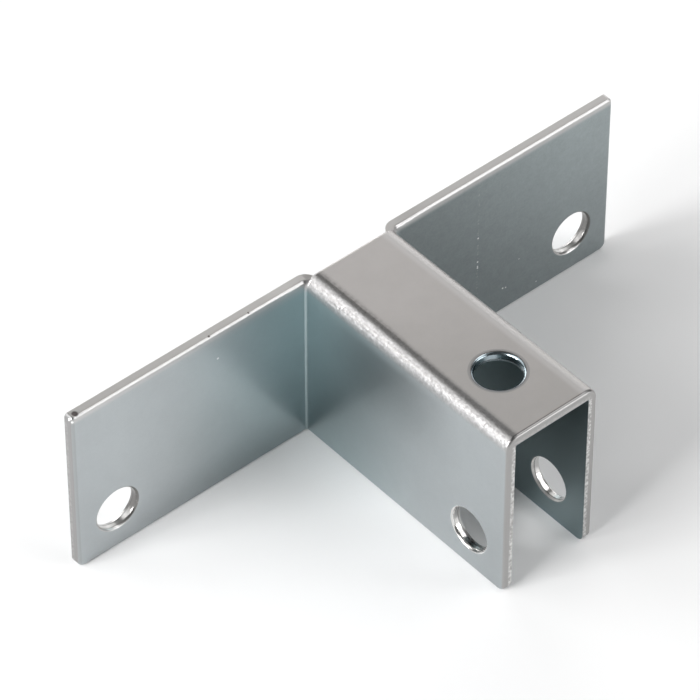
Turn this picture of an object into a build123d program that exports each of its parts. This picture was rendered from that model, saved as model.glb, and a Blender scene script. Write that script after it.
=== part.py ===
from build123d import *
import os

# Overall sizes in millimetres
overall_width = 100.0  # over both ears
overall_height = 30.0  # lower edges to the top of the web
channel_length = 43.6  # rear plane of the ears to the front end of the channel
channel_width = 16.6  # over the outside of the two walls

# The sheet and its folds
sheet = 1.6  # thickness
fold_radius = 0.4  # inside radius between the web and each wall
bend_radius = 0.4  # inside radius between each wall and its ear
web_setback = 1.4  # rear edge of the web in front of the rear plane
ear_drop = 0.4  # top edge of each ear under the top of the web
lower_corner_radius = 1.2  # lower outer corner of each ear and lower front corner of each wall
upper_corner_radius = 0.6  # upper outer corner of each ear
edge_roll = 0.5  # rounding that the shear leaves along the edges of the outer faces

# The punched holes
hole_diameter = 7.0
rim_roll = 0.5  # rounding that the punch leaves round the outer rim
exit_depth = 0.45  # part of the thickness where the punched wall widens towards its exit
exit_growth = 0.14  # radius that it gains there
ear_hole_inset = 7.2  # in from the outer end of each ear
ear_hole_height = 7.2  # above the lower edges
wall_hole_height = 7.0  # above the lower edges
wall_hole_setback = 7.3  # behind the front end
web_hole_setback = 11.0  # behind the front end

# Worked out from the sizes above
ear_height = overall_height - ear_drop
fold_outside = fold_radius + sheet
fold_foot = overall_height - fold_outside  # level where the walls turn into the folds
fold_x = channel_width / 2 - fold_outside  # axis of each fold, out from the middle
half_channel = channel_width / 2
ear_hole_x = overall_width / 2 - ear_hole_inset


def wall_and_ear():
    """Left wall and ear: one upright strip, bent outwards at the rear, with its corners rounded."""
    middle = FilletPolyline(
        (-half_channel + sheet / 2, -channel_length),
        (-half_channel + sheet / 2, -sheet / 2),
        (-overall_width / 2, -sheet / 2),
        radius=bend_radius + sheet / 2,
    )
    strip = extrude(trace(middle, sheet), ear_height)
    ear_corners = strip.edges().filter_by(Axis.Y).group_by(Axis.X)[0]
    strip = fillet(ear_corners.sort_by(Axis.Z)[-1], upper_corner_radius)
    ear_corners = strip.edges().filter_by(Axis.Y).group_by(Axis.X)[0]
    front_corners = strip.edges().filter_by(Axis.X).group_by(Axis.Y)[0]
    lower_corners = [ear_corners.sort_by(Axis.Z)[0], front_corners.sort_by(Axis.Z)[0]]
    strip = fillet(lower_corners, lower_corner_radius)
    # The ear's long front edges lie on one smooth run of edges round the whole outer face
    long_edges = strip.edges().filter_by(Axis.X).group_by(SortBy.LENGTH)[-1]
    strip = fillet(long_edges.group_by(Axis.Y)[0], edge_roll)
    # In front of the ears the folds and the web take the place of the walls' tops
    fold_space = Pos(0, -sheet, fold_foot) * Box(
        channel_width + 2 * bend_radius, channel_length, fold_outside, align=(Align.CENTER, Align.MAX, Align.MIN)
    )
    return strip - fold_space + bend_over_fold()


def bend_over_fold():
    """The bend's inside radius where it leans over with the fold, up to the top edge of the ear."""
    round_in = CenterArc((-half_channel - bend_radius, -sheet - bend_radius), bend_radius, 0, 90)
    in_the_sheet = -half_channel + sheet / 2
    sides = Polyline(
        round_in @ 1,
        (in_the_sheet, -sheet),
        (in_the_sheet, -sheet - bend_radius),
        round_in @ 0,
    )
    fold_axis = Axis((-fold_x, 0, fold_foot), (0, 1, 0))
    ring = revolve(Pos(0, 0, fold_foot) * make_face([round_in, sides]), fold_axis, 90)
    under_ear_top = Box(channel_length, channel_length, 2 * ear_height)
    return ring & under_ear_top


def web_and_folds():
    """Web with the quarter-round fold along each side, which stands on the walls."""
    middle_radius = fold_radius + sheet / 2
    right_fold = CenterArc((fold_x, fold_foot), middle_radius, 0, 90)
    left_fold = CenterArc((-fold_x, fold_foot), middle_radius, 90, 90)
    web = Line(right_fold @ 1, left_fold @ 0)
    section = trace([right_fold, web, left_fold], sheet)
    cover = Pos(0, -web_setback, 0) * extrude(Plane.XZ * section, channel_length - web_setback)
    front_and_rear = cover.edges().filter_by(Axis.X).group_by(Axis.Z)[-1]
    return fillet(front_and_rear, edge_roll)


def punched_hole():
    """Space of one hole: rolled rim on the plane z = 0, then the bore, then the wider exit at z = -sheet."""
    bore = hole_diameter / 2
    rim = CenterArc((bore + rim_roll, -rim_roll), rim_roll, 90, 90)
    wall = Polyline(
        rim @ 1,
        (bore, exit_depth - sheet),
        (bore + exit_growth, -sheet),
        (bore + exit_growth, -2 * sheet),
        (0, -2 * sheet),
        (0, 0),
        rim @ 0,
    )
    return revolve(Plane.XZ * make_face([rim, wall]), Axis.Z)


def hole_places():
    """A plane on the outer face at each hole, its normal pointing away from the sheet."""
    wall_hole_y = wall_hole_setback - channel_length
    places = [Plane((0, web_hole_setback - channel_length, overall_height))]
    for side in (-1, 1):
        places.append(Plane((side * ear_hole_x, -sheet, ear_hole_height), z_dir=(0, -1, 0)))
        places.append(Plane((side * half_channel, wall_hole_y, wall_hole_height), z_dir=(side, 0, 0)))
    return places


left_side = wall_and_ear()
bracket = web_and_folds() + left_side + mirror(left_side, Plane.YZ)
for place in hole_places():
    bracket -= place * punched_hole()

# The origin lies in the rear plane, midway between the ear holes
bracket = Pos(0, 0, -ear_hole_height) * bracket

os.makedirs("parts", exist_ok=True)
export_step(bracket, "parts/bracket.step")
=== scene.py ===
import math
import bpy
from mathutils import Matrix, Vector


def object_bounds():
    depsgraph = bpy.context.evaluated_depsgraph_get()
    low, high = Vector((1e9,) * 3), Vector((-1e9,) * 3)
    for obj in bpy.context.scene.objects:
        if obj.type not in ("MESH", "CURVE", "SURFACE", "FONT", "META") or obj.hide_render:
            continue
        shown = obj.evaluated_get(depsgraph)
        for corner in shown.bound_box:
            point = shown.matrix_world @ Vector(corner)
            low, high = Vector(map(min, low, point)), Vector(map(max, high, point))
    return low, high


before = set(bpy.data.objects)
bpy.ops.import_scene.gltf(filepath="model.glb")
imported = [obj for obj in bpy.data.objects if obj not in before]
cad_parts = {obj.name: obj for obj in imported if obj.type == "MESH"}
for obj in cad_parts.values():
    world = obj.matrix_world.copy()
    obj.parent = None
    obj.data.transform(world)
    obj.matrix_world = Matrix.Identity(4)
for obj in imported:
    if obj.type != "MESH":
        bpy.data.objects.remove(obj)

from types import SimpleNamespace

import bpy
from mathutils import Matrix, Vector

cad_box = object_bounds()
bpy.ops.object.select_all(action="DESELECT")

# The photograph's frame and its camera, in pixels, degrees and metres unless noted
photo_side = 700
focal_pixels = 5118.64
camera_azimuth = -40.738
camera_elevation = 44.762
camera_roll = 0.022
camera_place = Vector((-0.338563, -0.394526, 0.517912))
sensor_width = 36.0  # millimetres
clip_near = 0.01
clip_far = 20.0

# The studio, in metres and as shares of white
floor_side = 8.0
lamp_distance = 1.5
floor_white = 0.9
floor_glow = 0.05
sky_white = 0.08
white = (1.0, 1.0, 1.0, 1.0)

# The bracket's outer planes in millimetres, from the frame; its rear plane is at y = 0
millimetre = 0.001
lowest, highest = [[round(length / millimetre, 3) for length in corner] for corner in cad_box]
ear_end = highest[0]
web_top = highest[2]
front_end = lowest[1]
low_edge = lowest[2]

# The sheet, its folds and its punched holes, in millimetres
sheet = 1.6
wall_face = 8.3  # outer face of each wall, out from the middle
fold_radius = 2.0  # outside
ear_drop = 0.4  # top edge of each ear under the top of the web
ear_roll = 0.5  # rounding of the ears' top edge
bore = 3.5  # radius of each hole
break_depth = 1.15  # where the punched wall breaks away and widens
ear_hole_inset = 7.2
wall_hole_setback = 7.3
wall_hole_height = 7.0
web_hole_setback = 11.0

# Worked out from the sizes above; the ear holes are level with the origin
ear_face = -sheet
ear_top = web_top - ear_drop
fold_x = wall_face - fold_radius  # where the web turns into each fold
ear_hole_x = ear_end - ear_hole_inset
wall_hole_y = front_end + wall_hole_setback
wall_hole_z = low_edge + wall_hole_height
web_hole_y = front_end + web_hole_setback

# The tint of one plane starts at the first distance from it and is full at the second
skin_start = 0.1
skin_full = 0.02


class Field:
    """A number, place or colour that changes over the surface, with plain arithmetic."""

    def __init__(self, socket):
        self.socket = socket
        self.tree = socket.id_data

    def __add__(self, other):
        return calculate("ADD", self, other)

    def __radd__(self, other):
        return calculate("ADD", other, self)

    def __sub__(self, other):
        return calculate("SUBTRACT", self, other)

    def __rsub__(self, other):
        return calculate("SUBTRACT", other, self)

    def __mul__(self, other):
        return calculate("MULTIPLY", self, other)

    def __abs__(self):
        return calculate("ABSOLUTE", self)


def add_node(tree, kind, inputs=None, **settings):
    """A node with its settings, and its inputs linked from fields or sockets or set to plain values."""
    node = tree.nodes.new(kind)
    for name, value in settings.items():
        setattr(node, name, value)
    for name, value in (inputs or {}).items():
        source = value.socket if isinstance(value, Field) else value
        if isinstance(source, bpy.types.NodeSocket):
            tree.links.new(source, node.inputs[name])
        else:
            node.inputs[name].default_value = source
    return node


def calculate(operation, first, second=0.0):
    tree = first.tree if isinstance(first, Field) else second.tree
    return Field(add_node(tree, "ShaderNodeMath", {0: first, 1: second}, operation=operation).outputs[0])


def smaller(first, second):
    return calculate("MINIMUM", first, second)


def larger(first, second):
    return calculate("MAXIMUM", first, second)


def largest(*fields):
    result = fields[0]
    for field in fields[1:]:
        result = larger(result, field)
    return result


def distance(first, second):
    """Length of a vector in a plane, from its two parts."""
    return calculate("SQRT", first * first + second * second)


def ramp(field, low, high):
    """0 at low, 1 at high and a smooth step between; high may be the lower number."""
    inputs = {"Value": field, "From Min": low, "From Max": high}
    node = add_node(field.tree, "ShaderNodeMapRange", inputs, interpolation_type="SMOOTHSTEP")
    return Field(node.outputs["Result"])


def between(field, start, full, full_end, end):
    """0 before start, 1 from full to full_end and 0 after end."""
    return ramp(field, start, full) * ramp(field, end, full_end)


def noise(place, scale, detail, roughness):
    """Noise around 0, about -1 to 1, with a scale in waves per millimetre."""
    inputs = {"Vector": place, "Scale": scale, "Detail": detail, "Roughness": roughness}
    node = add_node(place.tree, "ShaderNodeTexNoise", inputs)
    return Field(node.outputs["Fac"]) * 4.0 - 2.0


def stretched_place(x, y, z):
    node = add_node(x.tree, "ShaderNodeCombineXYZ", {"X": x, "Y": y, "Z": z})
    return Field(node.outputs[0])


def mix_colour(share, first, second):
    """Colours are fields, or red, green and blue in plain numbers."""
    colours = [(*colour, 1.0) if isinstance(colour, tuple) else colour for colour in (first, second)]
    inputs = {"Factor": share, 6: colours[0], 7: colours[1]}
    return Field(add_node(share.tree, "ShaderNodeMix", inputs, data_type="RGBA").outputs[2])


def mix_value(share, first, second):
    inputs = {"Factor": share, 2: first, 3: second}
    return Field(add_node(share.tree, "ShaderNodeMix", inputs, data_type="FLOAT").outputs[0])


def layered(result, layers, mix=mix_colour):
    """Lays each colour or value over the ones before it, by its share."""
    for share, layer in layers:
        result = mix(share, result, layer)
    return result


def spots(place, centres):
    """Mask of small round spots, each given by its centre and radius."""
    masks = []
    for centre, radius in centres:
        inputs = {0: place, 1: centre}
        offset = add_node(place.tree, "ShaderNodeVectorMath", inputs, operation="DISTANCE")
        masks.append(ramp(Field(offset.outputs["Value"]), radius, 0.5 * radius))
    return largest(*masks)


def new_material(name):
    material = bpy.data.materials.new(name)
    material.use_nodes = True
    material.node_tree.nodes.clear()
    return material


def places(tree):
    """Where a point of the bracket lies, and how far it is from the sheet's planes, in millimetres."""
    coordinates = add_node(tree, "ShaderNodeTexCoord")
    inputs = {0: coordinates.outputs["Object"], "Scale": 1.0 / millimetre}
    scaled = add_node(tree, "ShaderNodeVectorMath", inputs, operation="SCALE")
    at = SimpleNamespace(place=Field(scaled.outputs[0]))
    parts = add_node(tree, "ShaderNodeSeparateXYZ", {0: at.place})
    at.x, at.y, at.z = [Field(part) for part in parts.outputs]
    at.side = abs(at.x)
    at.behind_front = at.y - front_end
    at.behind_face = at.y - ear_face
    at.in_wall = wall_face - at.side
    at.under_web = web_top - at.z
    # Under the outer face: the front of the ears, the outside of the walls and the top of the web
    at.depth = larger(at.behind_face, smaller(at.in_wall, at.under_web))
    # From the upright corner between the wall and the ear, along either of them
    at.from_corner = larger(at.side - wall_face, ear_face - at.y)
    return at


def plating_waves(at):
    """The unevenness of the plating, from broad clouds down to single grains."""
    return SimpleNamespace(
        cloud=noise(at.place, 0.09, 1.0, 0.4),
        haze=noise(at.place, 0.3, 2.0, 0.5),
        mottle=noise(at.place, 0.9, 3.0, 0.6),
        coarse=noise(at.place, 1.7, 3.0, 0.6),
        grain=noise(at.place, 2.6, 2.0, 0.6),
    )


def cut_edges(at):
    """Sheared edges by their planes, their torn band and streaks, and the ears' rolled top edge."""
    edges = SimpleNamespace()
    edges.front = ramp(at.behind_front, skin_start, skin_full)
    edges.end = ramp(ear_end - at.side, skin_start, skin_full)
    edges.top = ramp(ear_top - at.z, 0.06, 0.01) * ramp(at.behind_face, -0.02, 0.1)
    low = ramp(at.z - low_edge, skin_start, skin_full)
    edges.all = largest(edges.front, edges.end, low, edges.top)
    less_on_web = 1.0 - ramp(at.under_web, 2.2, 1.4) * 0.7
    edges.torn = larger(edges.front, edges.all * 0.25) * ramp(at.depth, 0.85, 1.1) * less_on_web
    along_y = noise(stretched_place(at.x, at.y * 0.25, at.z), 2.2, 2.0, 0.6)
    along_x = noise(stretched_place(at.x * 0.3, at.y, at.z), 2.0, 2.0, 0.6)
    edges.streak = mix_value(edges.front, along_y, along_x)
    ear_top_roll = ramp(ear_top - at.z, 1.2, 0.4) * ramp(at.behind_face, 0.3, 0.2)
    edges.rolled = ramp(at.side, 8.6, 9.6) * ear_top_roll
    return edges


def punched_holes(at):
    """Walls of the holes, and where they break out towards the far side of the sheet."""
    holes = SimpleNamespace()
    from_ear_hole = distance(at.side - ear_hole_x, at.z)
    from_wall_hole = distance(at.y - wall_hole_y, at.z - wall_hole_z)
    holes.from_web_hole = distance(at.x, at.y - web_hole_y)
    outside = bore + 0.34
    inside = bore + 0.28
    holes.in_ear = ramp(from_ear_hole, outside, inside) * ramp(at.behind_face, -0.2, -0.1)
    holes.in_wall = ramp(from_wall_hole, outside, inside) * ramp(at.y, -5.0, -6.0)
    in_web_sheet = ramp(at.under_web, sheet + 0.3, sheet + 0.2)
    holes.in_web = ramp(holes.from_web_hole, outside, inside) * in_web_sheet
    holes.all = largest(holes.in_ear, holes.in_wall, holes.in_web)
    holes.broken_out = holes.all * ramp(at.depth, break_depth - 0.03, break_depth + 0.05)
    holes.break_line = holes.all * between(
        at.depth, break_depth - 0.15, break_depth - 0.05, break_depth + 0.01, break_depth + 0.13
    )
    return holes


def folds_beside_web(at):
    """Folds stretched in bending, and a line of painted shade where the left one starts."""
    folds = SimpleNamespace()
    past_fold = at.side - fold_x
    past_left_fold = -fold_x - at.x
    past_right_fold = at.x - fold_x
    less_on_right = 1.0 - ramp(at.x, 0.0, 1.0) * 0.65
    beside_web = between(past_fold, -0.4, 0.4, 2.05, 2.5) * ramp(at.behind_face, 0.3, 0.0)
    folds.stretched = beside_web * ramp(at.under_web, 2.6, 1.4) * less_on_right
    folds.dulled = beside_web * ramp(at.under_web, 5.3, 1.8)
    folds.middle = between(at.under_web, 0.3, 0.5, 0.75, 1.3)
    # The left fold sets in a little earlier towards the ears
    earlier = ramp(at.y, -36.0, -8.0)
    past_line = past_left_fold + (earlier * 0.5 - 0.25)
    folds.start = between(past_line, -0.9, 0.1, 0.5, 1.2) * ramp(at.under_web, 1.4, 0.6)
    folds.lean = earlier * smaller(larger(past_left_fold + 0.2, 0.0), 1.9)
    folds.crown = between(past_right_fold, -1.2, -0.3, 0.0, 1.0) * ramp(at.under_web, 1.0, 0.5)
    return folds


def face_tint(at, waves):
    """Bare zinc on the web with a painted sheen to the rear, a blue-green film below it, and painted
    shade in the corners, low down, at the far ends and on the right ear.
    """
    bare_front = (0.515, 0.495, 0.478)
    bare_rear_sheen = (0.575, 0.55, 0.535)
    bare_side = (0.535, 0.53, 0.528)
    film_dull = (0.475, 0.505, 0.52)
    film_bright = (0.495, 0.525, 0.535)
    corner_shade_green = (0.4, 0.49, 0.508)
    right_ear_shade_inner = (0.26, 0.294, 0.301)
    right_ear_shade_outer = (0.375, 0.425, 0.435)
    painted_shade_grey = (0.27, 0.29, 0.3)
    painted_deep_shade = (0.15, 0.175, 0.185)

    # Painted sheen: the web is painted lighter towards the rear, with random clouds over it
    rearward_sheen_and_cloud = ramp(at.y, front_end - 0.4, 0.0) + waves.cloud * 0.25 + waves.haze * 0.08
    clouding = 0.5 + waves.cloud * 0.25 + waves.haze * 0.15 + waves.grain * 0.3
    bare = mix_colour(rearward_sheen_and_cloud, bare_front, bare_rear_sheen)
    bare = mix_colour(ramp(at.side, 7.0, 9.0), bare, bare_side)
    filmed = ramp(at.under_web, 0.6, 1.8)
    # Painted shade: a darker blue-green towards the inner corners beside the walls
    shaded_corners = ramp(at.from_corner, 28.0, 1.0) * ramp(at.under_web, 1.2, 2.8)

    # Painted shade: the right ear is painted darker, most beside the wall, lighter towards its outer end
    right_ear = ramp(at.x - wall_face, -0.1, 1.2) * ramp(at.under_web, 0.9, 1.9)
    towards_end = ramp(at.x + at.z * 0.6, 16.0, 56.0)

    # Painted shade: the outer faces are painted darker towards the bottom and at their far ends
    lower = ramp(at.z, 18.0, low_edge + 0.2) * ramp(at.in_wall, sheet - 0.1, sheet - 0.3) * 0.2
    far_end_shade = ramp(at.from_corner, 33.0, 42.0) * filmed * 0.15
    # Painted shade at the foot of the left ear, and a painted dark reflection high on the left wall
    left_ear_foot_shade = between(at.x, -44.0, -26.0, -9.8, -8.8) * ramp(at.z, 1.0, -6.0) * 0.3
    left_wall = ramp(at.x + wall_face, skin_start, skin_full)
    high_patch = between(at.y, -36.0, -20.0, -15.0, -3.0) * between(at.z, 5.0, 16.0, 18.6, 21.2)
    left_wall_dark_reflection = left_wall * high_patch * 0.38

    tint = layered(
        bare,
        [
            (filmed, mix_colour(clouding, film_dull, film_bright)),
            (shaded_corners, corner_shade_green),
            (right_ear, mix_colour(towards_end, right_ear_shade_inner, right_ear_shade_outer)),
            (lower + far_end_shade, painted_shade_grey),
            (left_ear_foot_shade + left_wall_dark_reflection, painted_deep_shade),
        ],
    )
    everywhere = waves.haze * 0.012 + waves.mottle * 0.012 + waves.grain * 0.006
    on_right_ear = right_ear * (waves.mottle * 0.045 + waves.grain * 0.05)
    inputs = {0: tint, "Scale": 1.0 + everywhere + on_right_ear}
    return Field(add_node(tint.tree, "ShaderNodeVectorMath", inputs, operation="SCALE").outputs[0])


def fold_tint(tint, folds, waves, sparkle):
    """Grainy zinc over the folds, a painted highlight on the right crown and painted shade at the left
    line.
    """
    bright_grain = mix_colour(sparkle, (0.38, 0.375, 0.375), (0.54, 0.535, 0.535))
    dull_grain = mix_colour(sparkle, (0.25, 0.245, 0.245), (0.38, 0.375, 0.375))
    painted_crown_highlight = (0.7, 0.69, 0.685)
    painted_valley_shade = (0.16, 0.155, 0.15)
    return layered(
        tint,
        [
            (folds.stretched * 0.9, mix_colour(folds.middle, bright_grain, dull_grain)),
            # Painted highlight along the right fold's crown
            (folds.crown * 0.5, painted_crown_highlight),
            # Painted shade along the line where the left fold starts, broken up by noise
            (folds.start * (0.5 + waves.coarse * 0.3), painted_valley_shade),
        ],
    )


def edge_tint(tint, at, edges, sparkle):
    """Cut edges and the rolled edges beside them, with a bright torn band, a painted highlight on the
    ears' top roll and painted light on the left ear's top edge.
    """
    front_grey = (0.38, 0.375, 0.37)
    line_grey = (0.1, 0.1, 0.1)
    left_roll_grey = (0.32, 0.33, 0.33)
    end_grey = (0.345, 0.34, 0.34)
    top_left_painted_light = (0.66, 0.645, 0.625)
    top_right = (0.6, 0.585, 0.57)
    torn_bright = (0.72, 0.72, 0.71)
    painted_roll_highlight = (0.78, 0.77, 0.755)
    web_front_line = between(at.behind_front, 0.04, 0.2, 0.4, 0.55) * ramp(at.under_web, 0.5, 0.3)
    left_end_roll = ramp(ear_end + at.x, 0.6, 0.4)
    return layered(
        tint,
        [
            (ramp(at.behind_front, 0.4, 0.15), front_grey),
            (web_front_line * 0.65, line_grey),
            (left_end_roll * 0.5, left_roll_grey),
            (edges.end, end_grey),
            # Painted light: the left ear's top edge is painted lighter than the right one's
            (edges.top * 0.8, mix_colour(ramp(at.x, 0.0, -8.0), top_right, top_left_painted_light)),
            (edges.torn * sparkle, torn_bright),
            # Painted highlight along the ears' rolled top edge
            (edges.rolled * 0.35, painted_roll_highlight),
        ],
    )


def hole_tint(tint, at, holes, waves):
    """Burnished hole walls, darker where they break out, with painted shade on the rims, in the web bore
    and in blotches in the ear bores, and a painted highlight in the wall bores.
    """
    painted_rim_shade = (0.2, 0.21, 0.22)
    painted_web_bore_shade = (0.33, 0.39, 0.42)
    painted_inner_rim_shade = (0.12, 0.13, 0.14)
    ear_bore_grey = (0.58, 0.575, 0.565)
    painted_bore_blotch_shade = (0.17, 0.165, 0.16)
    painted_wall_bore_highlight = (0.76, 0.75, 0.735)
    line_grey = (0.15, 0.15, 0.15)
    web_rim = ramp(holes.from_web_hole, bore + 0.85, bore + 0.7) * ramp(at.under_web, 0.6, 0.4)
    # Painted shade: the web hole's rim is darkest towards the left front, the ear holes' walls towards
    # the right
    left_front = at.x * -0.65 + (at.y - web_hole_y) * -0.76
    inner_rim = ramp(holes.from_web_hole, bore + 0.6, bore + 0.45) * ramp(at.under_web, 1.0, 0.7)
    front_rim = ramp(left_front, 0.0, 2.5) * inner_rim
    right_side = (at.side - ear_hole_x) * calculate("SIGN", at.x)
    bore_shade_blotches = holes.in_ear * ramp(right_side, 1.2, 2.8) * ramp(waves.coarse, -2.0, -0.3)
    return layered(
        tint,
        [
            # Painted shade around the web hole's rim and, below, on its inner rim
            (web_rim * 0.4, painted_rim_shade),
            # Painted shade in the web hole's bore
            (holes.in_web, painted_web_bore_shade),
            (front_rim * 0.8, painted_inner_rim_shade),
            (holes.in_ear, ear_bore_grey),
            # Painted shade: dark reflection blotches on the right side of the ear bores
            (bore_shade_blotches * 0.85, painted_bore_blotch_shade),
            # Burnished wall bores, painted lighter still as a painted highlight
            (holes.in_wall, painted_wall_bore_highlight),
            (holes.break_line * 0.7, line_grey),
        ],
    )


def marks(at, waves):
    """Stray crumbs and nicks in the plating, and a fine upright scratch on the right ear."""
    scratch_x = 24.2
    on_ears = [
        (-24.3, 17.6, 0.24),
        (scratch_x, 10.5, 0.2),
        (scratch_x, 5.8, 0.18),
        (scratch_x, 4.9, 0.15),
        (scratch_x, 4.6, 0.17),
        (29.3, -2.7, 0.2),
        (29.9, -2.9, 0.17),
        (32.4, 1.3, 0.13),
        (36.0, -5.5, 0.15),
    ]
    crumbs = [((x, ear_face, z), radius) for x, z, radius in on_ears]
    crumbs += [((-ear_end, -1.0, 22.1), 0.3), ((-49.8, -1.5, 21.8), 0.25)]
    nicks = [((-25.5, -1.2, 22.35), 0.22), ((-18.4, -1.2, 22.35), 0.2), ((-48.9, -0.9, 22.4), 0.6)]
    scratch = ramp(abs(at.x - scratch_x), 0.16, 0.06) * ramp(at.behind_face, -0.1, -0.02)
    return SimpleNamespace(
        crumbs=spots(at.place, crumbs),
        nicks=spots(at.place, nicks),
        scratch=scratch * ramp(waves.grain, 0.0, 0.7),
    )


def surface_tint(at, waves, edges, holes, folds, stray):
    """Colour of the plating with painted light and shade, laid from the plain faces up to the single
    crumbs.
    """
    painted_inside_shade_low = (0.18, 0.25, 0.265)
    painted_inside_shade_high = (0.115, 0.165, 0.175)
    scratch_grey = (0.7, 0.7, 0.7)
    nick_brown = (0.17, 0.15, 0.145)
    crumb_white = (0.85, 0.85, 0.85)
    sparkle = ramp(waves.coarse + waves.grain * 0.8, -0.8, 0.8)
    tint = face_tint(at, waves)
    tint = fold_tint(tint, folds, waves, sparkle)
    tint = edge_tint(tint, at, edges, sparkle)
    tint = hole_tint(tint, at, holes, waves)
    # Painted shade inside the channel, darker towards the web above
    inside = ramp(at.in_wall, sheet - 0.05, sheet) * ramp(at.under_web, sheet - 0.05, sheet)
    return layered(
        tint,
        [
            (inside * 0.8, mix_colour(ramp(at.z, 0.0, 12.0), painted_inside_shade_low, painted_inside_shade_high)),
            (stray.scratch * 0.4, scratch_grey),
            (stray.nicks, nick_brown),
            (stray.crumbs, crumb_white),
        ],
    )


def surface_relief(at, waves, edges, holes, folds, stray):
    """Height of the surface in millimetres, from broad waves to torn grain."""
    # The ears' top edge leans a little further over than a quarter round
    over_face = smaller(larger(at.z - (ear_top - ear_roll), 0.0), ear_roll)
    ear_top_lean = ramp(at.side, 9.0, 15.0) * over_face
    return (
        waves.cloud * 0.008
        + waves.mottle * 0.00006
        + waves.grain * 0.00005
        + folds.stretched * waves.coarse * 0.013
        - folds.lean * 0.14
        + folds.stretched * waves.grain * 0.005
        + holes.all * waves.grain * 0.002
        + edges.all * edges.streak * 0.004
        + edges.torn * waves.coarse * 0.03
        + holes.broken_out * waves.coarse * 0.012
        - stray.nicks * 0.05
        + ear_top_lean * 0.3
    )


def surface_roughness(waves, edges, holes, folds):
    satin = 0.295 + waves.haze * 0.005 + waves.cloud * 0.01
    layers = [
        (folds.dulled, 0.42),
        (holes.all, 0.22),
        (holes.in_ear, 0.3),
        (edges.rolled, 0.39),
        (edges.all, 0.36),
        (holes.broken_out, 0.35),
    ]
    return layered(satin, layers, mix_value)


def zinc_plate():
    """Bright zinc over cold-rolled sheet: satin faces, grainy folds, torn and streaked cut edges."""
    material = new_material("zinc_plate")
    tree = material.node_tree
    at = places(tree)
    waves = plating_waves(at)
    edges = cut_edges(at)
    holes = punched_holes(at)
    folds = folds_beside_web(at)
    stray = marks(at, waves)
    height = surface_relief(at, waves, edges, holes, folds, stray)
    bump = add_node(tree, "ShaderNodeBump", {"Height": height, "Strength": 1.0, "Distance": millimetre})
    shader = add_node(
        tree,
        "ShaderNodeBsdfPrincipled",
        {
            "Base Color": surface_tint(at, waves, edges, holes, folds, stray),
            "Metallic": 1.0 - stray.crumbs,
            "Roughness": surface_roughness(waves, edges, holes, folds),
            "Normal": bump.outputs[0],
        },
    )
    add_node(tree, "ShaderNodeOutputMaterial", {"Surface": shader.outputs[0]})
    return material


def pale_floor():
    """White sweep that takes the bracket's shadow; its glow shows to the eye and in reflections only."""
    material = new_material("pale_floor")
    tree = material.node_tree
    colour = (floor_white, floor_white, floor_white, 1.0)
    paint = add_node(tree, "ShaderNodeBsdfDiffuse", {"Color": colour})
    path = add_node(tree, "ShaderNodeLightPath")
    rays = ("Is Camera Ray", "Is Glossy Ray", "Is Transmission Ray")
    seen = largest(*[Field(path.outputs[ray]) for ray in rays])
    glow = add_node(tree, "ShaderNodeEmission", {"Color": white, "Strength": seen * floor_glow})
    both = add_node(tree, "ShaderNodeAddShader", {0: paint.outputs[0], 1: glow.outputs[0]})
    add_node(tree, "ShaderNodeOutputMaterial", {"Surface": both.outputs[0]})
    return material


def lay_floor():
    bpy.ops.mesh.primitive_plane_add(size=floor_side, location=(0.0, 0.0, low_edge * millimetre))
    floor = bpy.context.active_object
    floor.name = "floor"
    bpy.ops.object.transform_apply(location=True, rotation=True, scale=True)
    floor.data.materials.append(pale_floor())
    floor.select_set(False)


def direction(azimuth, elevation):
    """Points from the bracket outwards: azimuth 0 is its front, 90 its right side."""
    turn = math.radians(azimuth)
    rise = math.radians(elevation)
    return Vector((math.sin(turn) * math.cos(rise), -math.cos(turn) * math.cos(rise), math.sin(rise)))


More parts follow.
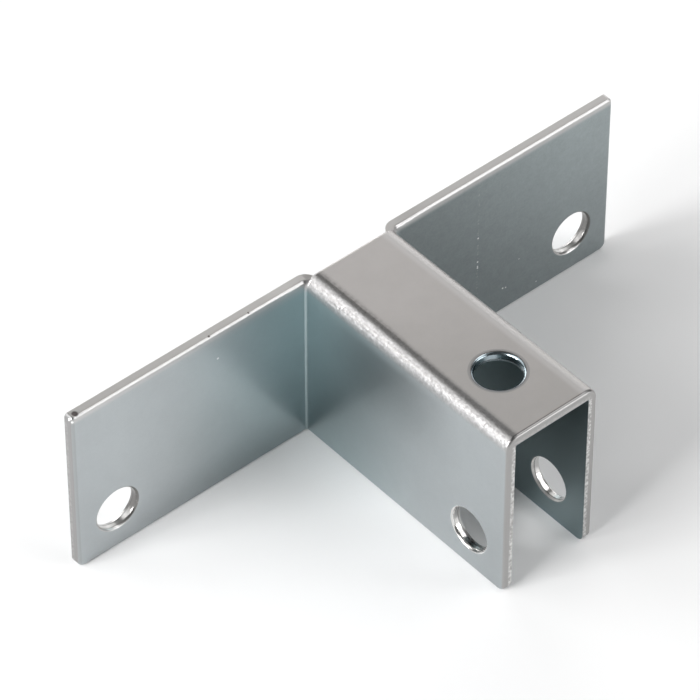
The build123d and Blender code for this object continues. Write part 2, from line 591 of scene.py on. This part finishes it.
def set_camera():
    back = direction(camera_azimuth, camera_elevation)
    azimuth = math.radians(camera_azimuth)
    right = Vector((math.cos(azimuth), math.sin(azimuth), 0.0))
    turned = Matrix((right, back.cross(right), back)).transposed().to_4x4()
    data = bpy.data.cameras.new("camera")
    data.sensor_width = sensor_width
    data.lens = focal_pixels * sensor_width / photo_side
    data.clip_start = clip_near
    data.clip_end = clip_far
    camera = bpy.data.objects.new("camera", data)
    bpy.context.scene.collection.objects.link(camera)
    roll = Matrix.Rotation(math.radians(camera_roll), 4, "Z")
    camera.matrix_world = Matrix.Translation(camera_place) @ turned @ roll
    bpy.context.scene.camera = camera


def soft_lamp(name, azimuth, elevation, width, height, strength):
    """Rectangular lamp that faces the bracket; a strength of 1 looks white in a mirror."""
    back = direction(azimuth, elevation)
    data = bpy.data.lights.new(name, "AREA")
    data.shape = "RECTANGLE"
    data.size = width
    data.size_y = height
    data.energy = strength * math.pi * width * height
    lamp = bpy.data.objects.new(name, data)
    bpy.context.scene.collection.objects.link(lamp)
    lamp.location = back * lamp_distance
    lamp.rotation_euler = (-back).to_track_quat("-Z", "Y").to_euler()
    lamp.visible_camera = False


def studio_lamps():
    """A strong key from the left, low fill from the front and softer lamps all round."""
    soft_lamp("key", 265.0, 22.0, 0.9, 0.5, 18.0)
    soft_lamp("key_high", 265.0, 36.0, 0.95, 0.7, 1.8)
    soft_lamp("front_low", 28.0, 14.0, 1.0, 0.5, 3.8)
    soft_lamp("front_mid", 36.0, 35.0, 0.7, 0.7, 1.3)
    soft_lamp("front_high", 62.0, 57.0, 0.8, 0.6, 2.9)
    soft_lamp("right_mid", 131.0, 28.0, 0.8, 0.4, 0.7)
    soft_lamp("right_low", 118.0, 13.0, 1.2, 0.5, 1.6)
    soft_lamp("back_right", 140.0, 40.0, 0.8, 0.8, 0.7)
    soft_lamp("back_low", 175.0, 15.0, 1.2, 0.5, 4.2)
    soft_lamp("back_left", 222.0, 30.0, 1.0, 0.9, 1.25)
    soft_lamp("back_left_high", 225.0, 52.0, 0.8, 0.6, 1.5)


def studio_world():
    world = bpy.data.worlds.new("studio")
    bpy.context.scene.world = world
    world.use_nodes = True
    tree = world.node_tree
    tree.nodes.clear()
    background = add_node(tree, "ShaderNodeBackground", {"Color": white, "Strength": sky_white})
    add_node(tree, "ShaderNodeOutputWorld", {"Surface": background.outputs[0]})


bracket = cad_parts["bracket"]
plate = zinc_plate()
for slot in bracket.material_slots:
    slot.material = plate

lay_floor()
set_camera()
studio_world()
studio_lamps()

bpy.context.scene.view_settings.view_transform = "Standard"
